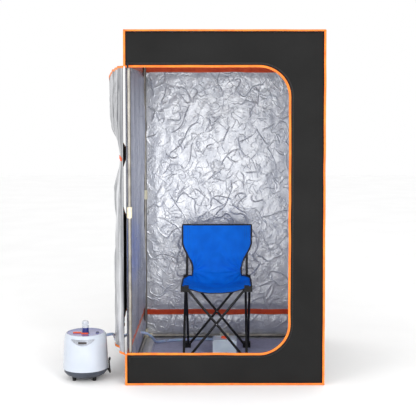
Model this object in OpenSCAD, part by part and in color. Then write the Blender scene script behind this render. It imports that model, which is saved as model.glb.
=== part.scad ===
// Portable steam sauna: fabric cabin on a tube frame, folding chair, steam pot, hose and herb box.
// Frame: +X to the user's right, +Y to the back wall, +Z up. Origin: middle of the cabin floor's underside.

/* [Cabin] */
// Width of the cabin, left to right
cabin_w = 1000; // [950:10:1050]
// Depth of the cabin, front to back
cabin_d = 1000; // [950:10:1050]
// Height of the cabin
cabin_h = 1800; // [1750:10:1900]
// Thickness of the quilted wall fabric
sheet = 3; // [2:0.5:4]
// Border left around the doorway at the top, right and bottom
border = 165; // [150:5:190]
// Corner radius of the doorway
door_r = 160; // [120:5:200]

/* [Frame] */
// Outer radius of the frame tubes
tube_r = 9.5; // [8:0.5:10]
// Wall of the frame tubes
tube_wall = 1; // [0.8:0.1:1.5]
// Outer radius of the tube couplers and corner sockets
socket_r = 13; // [12.5:0.5:14]

/* [Door] */
// How far the tied-back door bulges away from the cabin
door_bulge = 24; // [16:2:40]
// Angle of the tied-back door away from the left wall
door_angle = 7; // [4:1:7]

/* [Chair] */
// Half width between the chair's corner hubs
chair_a = 175; // [165:5:185]
// Half depth between the chair's corner hubs
chair_b = 165; // [155:5:175]
// Height of the seat hubs
seat_z = 420; // [400:5:440]
// Radius of the chair tubes
bar_r = 7; // [6:0.5:8]

/* [Steam pot] */
// Radius of the pot's housing at its widest
pot_r = 118.5; // [116:0.5:120]
// Height of the pot's rim
pot_h = 243; // [238:1:250]

/* [Hidden] */
$fn = 48;

half_w = cabin_w / 2;
half_d = cabin_d / 2;
pole_x = half_w - sheet - 0.5 - socket_r;
pole_y = half_d - sheet - 0.5 - socket_r;
rail_low = sheet + 0.5 + socket_r;
rail_high = cabin_h - rail_low;
coupler_z = 885;
coupler_len = 56;
door_low = border - 10;
door_high = cabin_h - border - 5;
door_right = half_w - border;
piping_r = 5;
hinge_x = -half_w - 12;
hinge_y = -half_d - 6;
door_len = door_right + half_w + 10;
band_low = 160;
band_high = 1645;
band_h = 32;
mat_t = 5;
floor_top = sheet + mat_t;
chair_x = -45;
chair_y = 70;
foot_z = floor_top + 15;
post_lean = 8;
post_z = seat_z + 15.2;
post_len = 288;
pot_x = -730;
pot_y = -365;
hose_r = 8;
port_y = 170;
port_z = 110;
elbow_turn = 42;
fit = 0.05;

// Hose route, exit to herb box
hose_points = [[-634, -279, 205], [-620, -266, 205], [-608, -245, 202], [-602, -215, 193], [-600, -180, 176],
    [-600, -140, 153], [-600, -95, 130], [-598, -45, 114], [-592, 10, 107], [-582, 70, 106], [-566, 120, 107],
    [-542, 154, 109], [-517, 167, 110], [-495, 170, 110], [-474, 172, 108.5], [-453, 179, 101], [-438, 194, 88],
    [-427, 216, 71], [-418, 242, 52], [-409, 270, 35], [-394, 300, 22], [-362, 338, 16.5], [-325, 353, 16.5],
    [-285, 364, 16.5], [-240, 374, 16.5], [-195, 384, 16.5], [-150, 390, 16.5], [-105, 388, 16.5],
    [-65, 374, 16.5], [-34, 348, 16.5], [-14, 312, 17], [-4, 272, 20], [0, 232, 25], [0, 195, 29], [0, 160, 30],
    [0, 112, 30]];

module at_corners(x, y) {
    for (sx = [-1, 1], sy = [-1, 1]) translate([sx * x, sy * y, 0]) children();
}

module tube(length, r = tube_r, wall = tube_wall) {
    difference() {
        cylinder(r = r, h = length);
        translate([0, 0, -1]) cylinder(r = r - wall, h = length + 2);
    }
}

// A round bar between two points
module bar(from, to, r) {
    d = to - from;
    length = norm(d);
    translate(from) rotate([0, acos(d[2] / length), atan2(d[1], d[0])]) cylinder(r = r, h = length);
}

// Doorway outline in X and Z, grown by g
module doorway(g) {
    r = door_r + g;
    x1 = door_right + g;
    z0 = door_low - g;
    z1 = door_high + g;
    translate([-half_w - 1, z0]) square([x1 - r + half_w + 1, z1 - z0]);
    translate([x1 - r - 1, z0 + r]) square([r + 1, z1 - z0 - 2 * r]);
    translate([x1 - r, z0 + r]) circle(r = r);
    translate([x1 - r, z1 - r]) circle(r = r);
}

module upright_run(z0, z1) {
    color("lightgray") at_corners(pole_x, pole_y) translate([0, 0, z0]) tube(z1 - z0);
}
module frame_uprights_lower() { upright_run(rail_low + socket_r, coupler_z - 0.5); }
module frame_uprights_upper() { upright_run(coupler_z + 0.5, rail_high - socket_r); }

module coupler(length) {
    difference() {
        cylinder(r = socket_r, h = length, center = true);
        cylinder(r = tube_r + fit, h = length + 2, center = true);
    }
}
module frame_upright_couplers() {
    color("cornsilk") at_corners(pole_x, pole_y) translate([0, 0, coupler_z]) coupler(coupler_len);
}

// One ring of four rails, each made of two tubes, at height z
module rail_ring(z) {
    for (s = [-1, 1], t = [-1, 1]) {
        translate([t < 0 ? -pole_x + socket_r : 0.5, s * pole_y, z]) rotate([0, 90, 0]) tube(pole_x - socket_r - 0.5);
        translate([s * pole_x, t < 0 ? -0.5 : pole_y - socket_r, z]) rotate([90, 0, 0]) tube(pole_y - socket_r - 0.5);
    }
}
module frame_top_rails() { color("lightgray") rail_ring(rail_high); }
module frame_base_rails() { color("lightgray") rail_ring(rail_low); }

module frame_rail_couplers() {
    color("cornsilk") for (z = [rail_low, rail_high], s = [-1, 1]) {
        translate([0, s * pole_y, z]) rotate([0, 90, 0]) coupler(coupler_len);
        translate([s * pole_x, 0, z]) rotate([90, 0, 0]) coupler(coupler_len);
    }
}

// Three-way socket: a solid hub with a sleeve over each tube's end, reaching up or down by dz
module corner_joint(sx, sy, dz) {
    sleeve = 42;
    difference() {
        union() {
            sphere(r = socket_r);
            for (turn = [[0, -sx * 90, 0], [sy * 90, 0, 0], [dz > 0 ? 0 : 180, 0, 0]])
                rotate(turn) cylinder(r = socket_r, h = sleeve);
        }
        for (turn = [[0, -sx * 90, 0], [sy * 90, 0, 0], [dz > 0 ? 0 : 180, 0, 0]])
            rotate(turn) translate([0, 0, socket_r - 0.3]) cylinder(r = tube_r + fit, h = sleeve);
    }
}
module corner_set(z, dz) {
    color("cornsilk") for (sx = [-1, 1], sy = [-1, 1])
        translate([sx * pole_x, sy * pole_y, z]) corner_joint(sx, sy, dz);
}
module frame_top_corners() { corner_set(rail_high, -1); }
module frame_base_corners() { corner_set(rail_low, 1); }

module cover_front() {
    color("dimgray") translate([0, -half_d + sheet, 0]) rotate([90, 0, 0]) linear_extrude(sheet) difference() {
        translate([-half_w, sheet]) square([cabin_w, cabin_h - 2 * sheet]);
        doorway(0);
    }
}
module cover_back() {
    color("dimgray") translate([-half_w, half_d - sheet, sheet]) cube([cabin_w, sheet, cabin_h - 2 * sheet]);
}
module side_wall(x) {
    translate([x, -half_d + sheet, sheet]) cube([sheet, cabin_d - 2 * sheet, cabin_h - 2 * sheet]);
}
module cover_left() {
    color("dimgray") difference() {
        side_wall(-half_w);
        translate([-half_w - 1, port_y, port_z]) rotate([0, 90, 0]) cylinder(r = 15, h = sheet + 2);
    }
}
module cover_right() { color("dimgray") side_wall(half_w - sheet); }
module cover_roof() {
    color("dimgray") translate([-half_w, -half_d, cabin_h - sheet]) cube([cabin_w, cabin_d, sheet]);
}
module cover_floor() { color("silver") translate([-half_w, -half_d, 0]) cube([cabin_w, cabin_d, sheet]); }

module cover_piping() {
    px = half_w + 3.7;
    py = half_d + 3.7;
    top = cabin_h + 3.7;
    out = 5.2;
    color("darkorange") {
        at_corners(px, py) translate([0, 0, piping_r]) cylinder(r = piping_r, h = top - piping_r, $fn = 24);
        for (level = [[top, 3.7], [piping_r, out]], s = [-1, 1]) {
            translate([-px, s * (half_d + level[1]), level[0]]) rotate([0, 90, 0])
                cylinder(r = piping_r, h = 2 * px, $fn = 24);
            translate([s * (half_w + level[1]), -py, level[0]]) rotate([-90, 0, 0])
                cylinder(r = piping_r, h = 2 * py, $fn = 24);
        }
        at_corners(px, py) translate([0, 0, top]) sphere(r = piping_r, $fn = 24);
    }
}

// Round binding along the doorway's edge
module doorway_binding() {
    e = piping_r + 0.3;
    start = -half_w + sheet + 2;
    x1 = door_right - e;
    r = door_r - e;
    run = x1 - r - start;
    color("darkorange") translate([0, -half_d + sheet / 2, 0]) {
        for (z = [door_low + e, door_high - e])
            translate([start, 0, z]) rotate([0, 90, 0]) cylinder(r = piping_r, h = run, $fn = 24);
        translate([x1, 0, door_low + e + r]) cylinder(r = piping_r, h = door_high - door_low - 2 * (e + r), $fn = 24);
        for (end = [[door_low + e + r, -90], [door_high - e - r, 0]])
            translate([x1 - r, 0, end[0]]) rotate([90, 0, 0]) rotate([0, 0, end[1]])
                rotate_extrude(angle = 90) translate([r, 0]) circle(r = piping_r, $fn = 24);
    }
}

module inner_bands() {
    t = 1.5;
    side_y = half_d - sheet - 0.2;
    color("orangered") for (z = [band_low, band_high]) {
        translate([-half_w + sheet, half_d - sheet - t, z - band_h / 2]) cube([cabin_w - 2 * sheet, t, band_h]);
        for (x = [-half_w + sheet, half_w - sheet - t])
            translate([x, -side_y, z - band_h / 2]) cube([t, side_y + half_d - sheet - t, band_h]);
    }
}

module zip_tape() {
    color("black") translate([0, -half_d - 0.1, 0]) rotate([90, 0, 0]) linear_extrude(1.1) difference() {
        intersection() {
            doorway(14);
            translate([-half_w + 2, 0]) square([cabin_w, cabin_h]);
        }
        doorway(4);
    }
}

module hose_sleeve() {
    color("silver") translate([-half_w - 16, port_y, port_z]) rotate([0, 90, 0]) difference() {
        union() {
            cylinder(r = 13.5, h = 15.9);
            translate([0, 0, 13.9]) cylinder(r = 28, h = 2);
        }
        translate([0, 0, -1]) cylinder(r = 11.5, h = 20);
    }
}

module floor_mat() { color("slategray") translate([-426, -450, sheet]) cube([881, 890, mat_t]); }

// Plan of the tied-back door: a shallow bow from the hinge to the free edge, off metres to its outer side
function door_at(s, off) = let (
    u = [-sin(door_angle), cos(door_angle)],
    n = [-cos(door_angle), -sin(door_angle)],
    bow = door_bulge * sin(180 * pow(s, 0.7)))
    [hinge_x, hinge_y] + u * door_len * s + n * (bow + off);
module door_plan(s0, s1, near, far) {
    steps = 16;
    polygon(concat([for (i = [0:steps]) door_at(s0 + (s1 - s0) * i / steps, near)],
                   [for (i = [steps:-1:0]) door_at(s0 + (s1 - s0) * i / steps, far)]));
}
// Side outline of the door, shrunk by g at its three free sides
module door_side(g) {
    y1 = hinge_y + door_len * cos(door_angle) - g;
    z0 = door_low + 5 + g;
    z1 = door_high - 5 - g;
    r = door_r - g;
    translate([-700, 0, 0]) rotate([90, 0, 90]) linear_extrude(300) {
        translate([hinge_y - 10, z0]) square([y1 - r - hinge_y + 10, z1 - z0]);
        translate([y1 - r - 1, z0 + r]) square([r + 1, z1 - z0 - 2 * r]);
        for (z = [z0 + r, z1 - r]) translate([y1 - r, z]) circle(r = r);
    }
}
module door_panel() {
    color("silver") intersection() {
        linear_extrude(cabin_h) door_plan(0, 1, -1.5, 1.5);
        door_side(9);
    }
}
module door_binding() {
    color("darkorange") difference() {
        intersection() {
            linear_extrude(cabin_h) door_plan(0, 1, -3, 3);
            door_side(0);
        }
        door_side(9);
    }
}
module door_tie() { color("darkorange") translate([0, 0, 1149]) linear_extrude(14) door_plan(0.03, 0.36, 1.8, 3.2); }

slider_x = -half_w + 14;
module zip_slider(z) {
    color("dimgray") translate([slider_x, -half_d - 6, z]) {
        translate([-7, 0, -5]) cube([14, 4.4, 10]);
        translate([-2, -3, -1]) cube([4, 3, 2]);
    }
}
module zip_pull(z) {
    color("black") translate([slider_x - 4, -half_d - 11, z - 26]) difference() {
        cube([8, 1.8, 25]);
        translate([4, -1, 4]) rotate([-90, 0, 0]) cylinder(r = 1.8, h = 4);
    }
}
low_zip_z = door_low - 8.5;
high_zip_z = door_high + 8.5;
module zip_slider_low() { zip_slider(low_zip_z); }
module zip_pull_low() { zip_pull(low_zip_z); }
module zip_slider_high() { zip_slider(high_zip_z); }
module zip_pull_high() { zip_pull(high_zip_z); }

module chair_place() { translate([chair_x, chair_y, 0]) children(); }
// Two crossed bars in the plane y = 0, one each side of it
module crossed_bars(half_span) {
    x = half_span - 19;
    for (s = [-1, 1]) bar([-s * x, s * (bar_r + 0.5), foot_z + 8], [s * x, s * (bar_r + 0.5), seat_z - 8], bar_r);
}
module chair_front_bars() { color("black") chair_place() translate([0, -chair_b, 0]) crossed_bars(chair_a); }
module chair_rear_bars() { color("black") chair_place() translate([0, chair_b, 0]) crossed_bars(chair_a); }
module chair_side_bars() {
    color("black") chair_place() for (s = [-1, 1])
        translate([s * chair_a, 0, 0]) rotate([0, 0, 90]) crossed_bars(chair_b);
}
module chair_rivets() {
    z = (foot_z + seat_z) / 2;
    color("silver") chair_place() {
        for (s = [-1, 1]) {
            translate([0, s * chair_b, z]) rotate([90, 0, 0]) cylinder(r = 2.5, h = 36, center = true);
            translate([s * chair_a, 0, z]) rotate([0, 90, 0]) cylinder(r = 2.5, h = 36, center = true);
        }
    }
}
module chair_feet() {
    color("black") chair_place() at_corners(chair_a, chair_b) translate([-22, -22, floor_top + 0.1]) {
        cube([44, 44, 30]);
    }
}
module chair_hubs() {
    color("black") chair_place() at_corners(chair_a, chair_b) translate([-22, -22, seat_z - 16]) cube([44, 44, 30]);
}
module chair_posts() {
    color("black") chair_place() for (s = [-1, 1])
        translate([s * chair_a, chair_b, post_z]) rotate([-post_lean, 0, 0]) cylinder(r = bar_r, h = post_len);
}
module chair_post_caps() {
    color("black") chair_place() for (s = [-1, 1])
        translate([s * chair_a, chair_b, post_z]) rotate([-post_lean, 0, 0])
            translate([0, 0, post_len + 0.1]) cylinder(r = bar_r + 1, h = 6);
}
module chair_seat() {
    color("dodgerblue") chair_place() translate([-chair_a - 22, -chair_b - 24, seat_z + 15])
        cube([2 * chair_a + 44, 2 * chair_b + 8, 6]);
}
module chair_back() {
    color("dodgerblue") chair_place() translate([0, chair_b, post_z]) rotate([-post_lean, 0, 0])
        translate([-chair_a - 28, -bar_r - 8, 26]) cube([2 * chair_a + 56, 6, post_len - 18]);
}

module pot_place() { translate([pot_x, pot_y, 0]) children(); }
// Housing radius at height z, and the housing's outline grown outward by g
function pot_side(z) = pot_r - 8.5 * (z - 58) / 170;
module pot_profile(z0, z1, g, t) {
    polygon([[pot_side(z0) + g, z0], [pot_side(z1) + g, z1], [pot_side(z1) + g - t, z1], [pot_side(z0) + g - t, z0]]);
}
module pot_feet() {
    color("black") pot_place() for (a = [45:90:315]) rotate([0, 0, a]) translate([74, 0, 0]) cylinder(r1 = 9, r2 = 11, h = 20);
}
module pot_base() {
    color("darkslategray") pot_place() rotate_extrude()
        polygon([[0, 20.1], [86, 20.1], [100, 27], [111, 40], [116.5, 57.5], [113, 57.5], [107, 42], [97, 31],
                 [84, 24], [0, 24]]);
}
module pot_housing() {
    color("white") pot_place() rotate_extrude()
        polygon([[pot_r, 58], [pot_side(200), 200], [109, 222], [106, 234], [101.5, 241], [98, pot_h],
                 [96.5, pot_h - 1], [96.5, pot_h - 9], [99, pot_h - 12], [105, 220], [pot_side(200) - 3, 200],
                 [pot_r - 3, 58]]);
}
// Pieces set on the housing's front, cut to an outline by an extruded shape
module on_front(z0, z1, g, t) {
    pot_place() intersection() {
        rotate_extrude() pot_profile(z0, z1, g, t);
        rotate([90, 0, 0]) linear_extrude(150) children();
    }
}
module pot_bezel() {
    color("silver") on_front(194, 229, 2.2, 1.6) intersection() {
        translate([-62, 150]) square([124, 77]);
        translate([0, 272]) circle(r = 76, $fn = 96);
    }
}
module pot_display() { color("black") on_front(205, 219, 3.2, 0.9) translate([-21.5, 206]) square([43, 11]); }
module pot_tank() {
    color("silver") pot_place() rotate_extrude()
        polygon([[0, 62], [78, 62], [88, 72], [88, 225], [96, 225], [96, 227], [86, 227], [86, 73], [77, 64], [0, 64]]);
}
module pot_heater() {
    color("gray") pot_place() {
        translate([0, 0, 50]) cylinder(r = 52, h = 11.9);
        rotate_extrude() translate([40, 45.9]) circle(r = 4);
    }
}
module pot_thermostat() { color("black") pot_place() translate([0, 0, 38]) cylinder(r = 9, h = 11.9); }
module pot_circuit_board() { color("green") pot_place() translate([-30, -90, 100]) translate([0, -7, 0]) cube([60, 1.6, 80]); }
module pot_steam_elbow() {
    color("white") pot_place() rotate([0, 0, elbow_turn]) translate([0, 0, 205]) rotate([0, 90, 0]) {
        translate([0, 0, pot_side(205) + 1.2]) cylinder(r = 12, h = 4.5);
        translate([0, 0, pot_side(205) + 5]) cylinder(r = 9.5, h = 12.5);
    }
}
// Curved lever on a stub at the bowl's right side
module pot_side_lever() {
    color("black") pot_place() rotate([90, 0, 0]) translate([0, 0, -7]) linear_extrude(14)
        polygon([[114.8, 51.5], [118, 49.5], [121, 62], [119.5, 88], [119.5, 104], [123, 109], [128, 107.5],
                 [131, 101], [129, 94], [125.5, 88], [126.5, 66], [129, 46], [131.5, 30], [128, 25], [123, 30],
                 [117.5, 40], [112.9, 44.5]]);
}
module pot_inlet() {
    color("black") pot_place() rotate([0, 0, 90]) translate([pot_side(80) + 1.1, -16, 66]) difference() {
        cube([7, 32, 26]);
        translate([3, 4, 4]) cube([5, 24, 18]);
    }
}

module lid_plate() {
    color("slateblue") pot_place() rotate_extrude()
        polygon([[17.2, 233], [90, 233], [95.6, 237], [95.6, 241], [90, 240], [60, 238.5], [17.2, 238.5]]);
}
module lid_gasket() {
    color("white") pot_place() rotate_extrude() translate([91, 230]) square([3.5, 2.9]);
}
module lid_tabs() {
    color("orangered") pot_place() {
        translate([-64, -8, 239]) cube([42, 9, 5]);
        translate([-18, -29, 239]) cube([36, 8, 5]);
    }
}
module lid_valve() {
    color("lightslategray") pot_place() translate([62, 4, 239.3]) {
        cylinder(r = 9, h = 3);
        cylinder(r = 5, h = 6);
    }
}
module steam_neck() {
    color("navy") pot_place() difference() {
        union() {
            translate([0, 0, 228]) cylinder(r = 17, h = 40);
            translate([0, 0, 238.6]) cylinder(r = 19.5, h = 4);
        }
        translate([0, 0, 227]) cylinder(r = 12, h = 50);
    }
}
module steam_cap() {
    color("aliceblue") pot_place() translate([0, 0, 268.1]) difference() {
        union() {
            cylinder(r = 18, h = 8);
            cylinder(r = 15.4, h = 34);
            for (a = [0:45:315]) rotate([0, 0, a]) translate([12.5, -1.6, 6]) cube([5, 3.2, 25]);
        }
        translate([0, 0, -1]) cylinder(r = 11.5, h = 30);
    }
}

// Ring of points round one place on a route, square to the route there
function ring(points, i, r, sides) = let (
    a = points[max(i - 1, 0)], b = points[min(i + 1, len(points) - 1)],
    t = (b - a) / norm(b - a), side = cross(t, [0, 0, 1]), u = side / norm(side), v = cross(u, t))
    [for (k = [0:sides - 1]) points[i] + r * (cos(360 * k / sides) * u + sin(360 * k / sides) * v)];
module swept_tube(points, r, sides) {
    n = len(points);
    polyhedron(points = [for (i = [0:n - 1]) each ring(points, i, r, sides)],
        faces = concat([[for (k = [0:sides - 1]) k]],
            [for (i = [0:n - 2], k = [0:sides - 1]) [i * sides + k, (i + 1) * sides + k,
                (i + 1) * sides + (k + 1) % sides, i * sides + (k + 1) % sides]],
            [[for (k = [sides - 1:-1:0]) (n - 1) * sides + k]]));
}
module steam_hose() { color("lightblue") swept_tube(hose_points, hose_r, 10); }

box_w = 134;
box_d = 120;
box_h = 100;
box_y = 60;
module herb_box_base() {
    color("whitesmoke") translate([0, box_y, floor_top + 0.1]) {
        difference() {
            translate([-box_w / 2, -box_d / 2, 0]) cube([box_w, box_d, box_h - 16]);
            translate([-box_w / 2 + 3, -box_d / 2 + 3, 3]) cube([box_w - 6, box_d - 6, box_h]);
            translate([0, box_d / 2 - 4, 22 - 0.1]) rotate([-90, 0, 0]) cylinder(r = 8.6, h = 6);
        }
    }
}
module herb_box_lid() {
    color("white") translate([0, box_y, floor_top + box_h - 15.8]) difference() {
        union() {
            translate([-box_w / 2 - 1, -box_d / 2 - 1, 0]) cube([box_w + 2, box_d + 2, 8]);
            translate([-box_w / 2 + 8, -box_d / 2 + 8, 8]) cube([box_w - 16, box_d - 16, 5]);
        }
        for (a = [0:45:315], r = [32, 42]) rotate([0, 0, a]) translate([r, 0, -1]) cylinder(r = 2.5, h = 20, $fn = 16);
    }
}
module herb_box_knob() {
    color("orangered") translate([0, box_y, floor_top + box_h - 2.7]) {
        cylinder(r = 20, h = 4);
        translate([-18, -3.5, 4]) cube([36, 7, 6]);
    }
}

frame_uprights_lower();
frame_uprights_upper();
frame_upright_couplers();
frame_top_rails();
frame_base_rails();
frame_rail_couplers();
frame_top_corners();
frame_base_corners();
cover_front();
cover_back();
cover_left();
cover_right();
cover_roof();
cover_floor();
cover_piping();
doorway_binding();
inner_bands();
zip_tape();
hose_sleeve();
floor_mat();
door_panel();
door_binding();
door_tie();
zip_slider_low();
zip_pull_low();
zip_slider_high();
zip_pull_high();
chair_front_bars();
chair_rear_bars();
chair_side_bars();
chair_rivets();
chair_feet();
chair_hubs();
chair_posts();
chair_post_caps();
chair_seat();
chair_back();
pot_feet();
pot_base();
pot_housing();
pot_bezel();
pot_display();
pot_tank();
pot_heater();
pot_thermostat();
pot_circuit_board();
pot_steam_elbow();
pot_inlet();
pot_side_lever();
lid_plate();
lid_gasket();
lid_tabs();
lid_valve();
steam_neck();
steam_cap();
steam_hose();
herb_box_base();
herb_box_lid();
herb_box_knob();
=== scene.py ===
from math import cos, pi, radians, sin

import bmesh
import bpy
import numpy as np
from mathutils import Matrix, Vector


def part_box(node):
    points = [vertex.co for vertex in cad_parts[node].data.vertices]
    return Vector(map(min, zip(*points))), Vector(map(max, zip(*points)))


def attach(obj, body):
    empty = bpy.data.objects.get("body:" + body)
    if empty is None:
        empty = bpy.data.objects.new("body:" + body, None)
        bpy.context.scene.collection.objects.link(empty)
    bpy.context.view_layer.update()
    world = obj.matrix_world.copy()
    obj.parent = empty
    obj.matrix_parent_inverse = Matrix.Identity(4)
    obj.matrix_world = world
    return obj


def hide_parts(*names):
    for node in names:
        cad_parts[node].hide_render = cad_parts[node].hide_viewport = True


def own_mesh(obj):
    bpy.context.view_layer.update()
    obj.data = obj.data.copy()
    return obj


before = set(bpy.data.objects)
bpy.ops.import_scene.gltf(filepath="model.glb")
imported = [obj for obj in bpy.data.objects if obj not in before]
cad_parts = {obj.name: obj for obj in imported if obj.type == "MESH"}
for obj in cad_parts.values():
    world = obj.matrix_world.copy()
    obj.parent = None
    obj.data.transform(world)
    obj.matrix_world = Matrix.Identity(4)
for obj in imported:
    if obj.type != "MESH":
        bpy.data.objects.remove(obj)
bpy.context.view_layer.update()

scene = bpy.context.scene
scene.view_settings.view_transform = "Standard"  # keeps the orange and blue cloth as strong as they are


def ends(node):  # lowest and highest corner of a CAD node as arrays
    low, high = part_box(node)
    return np.array(low), np.array(high)


def linear(code):  # sRGB hex to linear
    parts = [int(code[i : i + 2], 16) / 255 for i in (1, 3, 5)]
    return [c / 12.92 if c <= 0.04045 else ((c + 0.055) / 1.055) ** 2.4 for c in parts] + [1.0]


def add(tree, kind, settings=None, links=None):  # one node, its settings and its incoming links
    made = tree.nodes.new(kind)
    for key, value in (settings or {}).items():
        if isinstance(key, int) or key in made.inputs:
            made.inputs[key].default_value = value
        else:
            setattr(made, key, value)
    for key, source in (links or {}).items():
        tree.links.new(source, made.inputs[key])
    return made


cameraSettings = {"place": (-0.009, -5.241, 1.427), "tilt": 3.54, "turn": -0.15, "lens": 81.5,
                  "sensor": 36.0, "shift": (-0.042, -0.106)}  # metres, degrees and millimetres
cameraData = bpy.data.cameras.new("camera")
cameraData.lens = cameraSettings["lens"]
cameraData.sensor_width = cameraSettings["sensor"]
cameraData.shift_x, cameraData.shift_y = cameraSettings["shift"]
camera = bpy.data.objects.new("camera", cameraData)
camera.location = cameraSettings["place"]
camera.rotation_euler = (radians(90 - cameraSettings["tilt"]), 0, radians(cameraSettings["turn"]))
scene.collection.objects.link(camera)
scene.camera = camera


def softBox(name, place, aim, size, power):  # one square lamp pointed at a spot
    lamp = bpy.data.lights.new(name, "AREA")
    lamp.shape, lamp.size, lamp.energy = "SQUARE", size, power
    holder = bpy.data.objects.new(name, lamp)
    holder.location = place
    holder.rotation_euler = (Vector(aim) - Vector(place)).to_track_quat("-Z", "Y").to_euler()
    scene.collection.objects.link(holder)


lampSettings = {
    "keyLamp": {"place": (2.2, -4.6, 3.0), "aim": (0, 0, 0.9), "size": 1.8, "power": 90},
    "fillLamp": {"place": (-3.0, -3.4, 2.0), "aim": (-0.3, 0, 0.8), "size": 2.4, "power": 45},
    "insideLamp": {"place": (0.1, -3.6, 0.75), "aim": (0, 0.45, 0.3), "size": 1.7, "power": 22},
}
for lampName, lampValues in lampSettings.items():
    softBox(lampName, **lampValues)

world = bpy.data.worlds.new("studio")
world.use_nodes = True
world.node_tree.nodes["Background"].inputs["Color"].default_value = (1, 1, 1, 1)
world.node_tree.nodes["Background"].inputs["Strength"].default_value = 1.0
scene.world = world
print("stage: camera, lamps and world")


def warped(tree, coords, size, amount):  # object coordinates pushed about by soft noise
    cloud = add(tree, "ShaderNodeTexNoise", {"Scale": 1.0 / size, "Detail": 2.0}, {"Vector": coords})
    scaled = {"operation": "SCALE", "Scale": amount}
    push = add(tree, "ShaderNodeVectorMath", scaled, {0: cloud.outputs["Color"]}).outputs[0]
    return add(tree, "ShaderNodeVectorMath", {"operation": "ADD"}, {0: coords, 1: push}).outputs[0]


# how the film's folds lie: their three directions, how long they are for their width, how wavy, how sharp,
# and where a slower noise starts and stops them
foldPattern = {"turns": ((0.5, -0.55, 0.0), (-0.55, 0.6, 0.0), (0.9, 1.2, 0.0)), "long": 5, "wavy": 0.4,
               "sharp": 0.026, "stops": (0.48, 0.56), "stopSize": 0.9, "seed": 4.0}
facetPattern = {"warpSize": 1.7, "warpBy": 0.9, "flatFrom": 0.35}


def relief(tree, coords, kind, size):  # a height from 0 to 1 that repeats every size metres
    if kind == "grain":
        grain = {"Scale": 1.0 / size, "Detail": 4.0}
        return add(tree, "ShaderNodeTexNoise", grain, {"Vector": coords}).outputs["Fac"]
    if kind == "facets":  # flat facets between sharp valleys
        spot = warped(tree, coords, size * facetPattern["warpSize"], size * facetPattern["warpBy"])
        edge = {"feature": "DISTANCE_TO_EDGE", "Scale": 1.0 / size}
        cell = add(tree, "ShaderNodeTexVoronoi", edge, {"Vector": spot}).outputs["Distance"]
        flat = {"From Max": facetPattern["flatFrom"]}
        return add(tree, "ShaderNodeMapRange", flat, {"Value": cell}).outputs["Result"]
    if kind == "folds":  # long sharp folds that start and stop
        ridge = {"Scale": 1.0 / size, "Detail": foldPattern["wavy"]}
        stop = {"noise_dimensions": "4D", "Scale": foldPattern["stopSize"] / size, "Detail": 0.0,
                "W": foldPattern["seed"]}
        sharpen = {"From Max": foldPattern["sharp"], "To Min": 1.0, "To Max": 0.0}
        stopsAt = {"From Min": foldPattern["stops"][0], "From Max": foldPattern["stops"][1]}
        height = None
        for turn in foldPattern["turns"]:
            lie = {"vector_type": "TEXTURE", "Rotation": turn, "Scale": (1, 1, foldPattern["long"])}
            spot = {"Vector": add(tree, "ShaderNodeMapping", lie, {"Vector": coords}).outputs["Vector"]}
            field = add(tree, "ShaderNodeTexNoise", ridge, spot).outputs["Fac"]
            part = add(tree, "ShaderNodeTexNoise", stop, spot).outputs["Fac"]
            away = add(tree, "ShaderNodeMath", {"operation": "SUBTRACT", 1: 0.5}, {0: field}).outputs[0]
            away = add(tree, "ShaderNodeMath", {"operation": "ABSOLUTE"}, {0: away}).outputs[0]
            depth = add(tree, "ShaderNodeMapRange", sharpen, {"Value": away}).outputs["Result"]
            some = add(tree, "ShaderNodeMapRange", stopsAt, {"Value": part}).outputs["Result"]
            depth = add(tree, "ShaderNodeMath", {"operation": "MULTIPLY"}, {0: depth, 1: some}).outputs[0]
            if height is not None:
                both = {0: height, 1: depth}
                depth = add(tree, "ShaderNodeMath", {"operation": "MAXIMUM"}, both).outputs[0]
            height = depth
        return height
    if kind == "weave":
        diagonal = {"bands_direction": "DIAGONAL", "Scale": 0.18 / size, "Distortion": 0.6}
        threads = []
        for turn in ((0.0, 0.0, 0.0), (0.0, radians(90), radians(90))):
            place = add(tree, "ShaderNodeMapping", {"Rotation": turn}, {"Vector": coords}).outputs["Vector"]
            threads.append(add(tree, "ShaderNodeTexWave", diagonal, {"Vector": place}).outputs["Fac"])
        both = {0: threads[0], 1: threads[1]}
        return add(tree, "ShaderNodeMath", {"operation": "MAXIMUM"}, both).outputs[0]
    stripe = {"Scale": 0.31 / size, "Distortion": 0.4, "Detail": 1.0, "bands_direction": kind}
    return add(tree, "ShaderNodeTexWave", stripe, {"Vector": coords}).outputs["Fac"]


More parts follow.
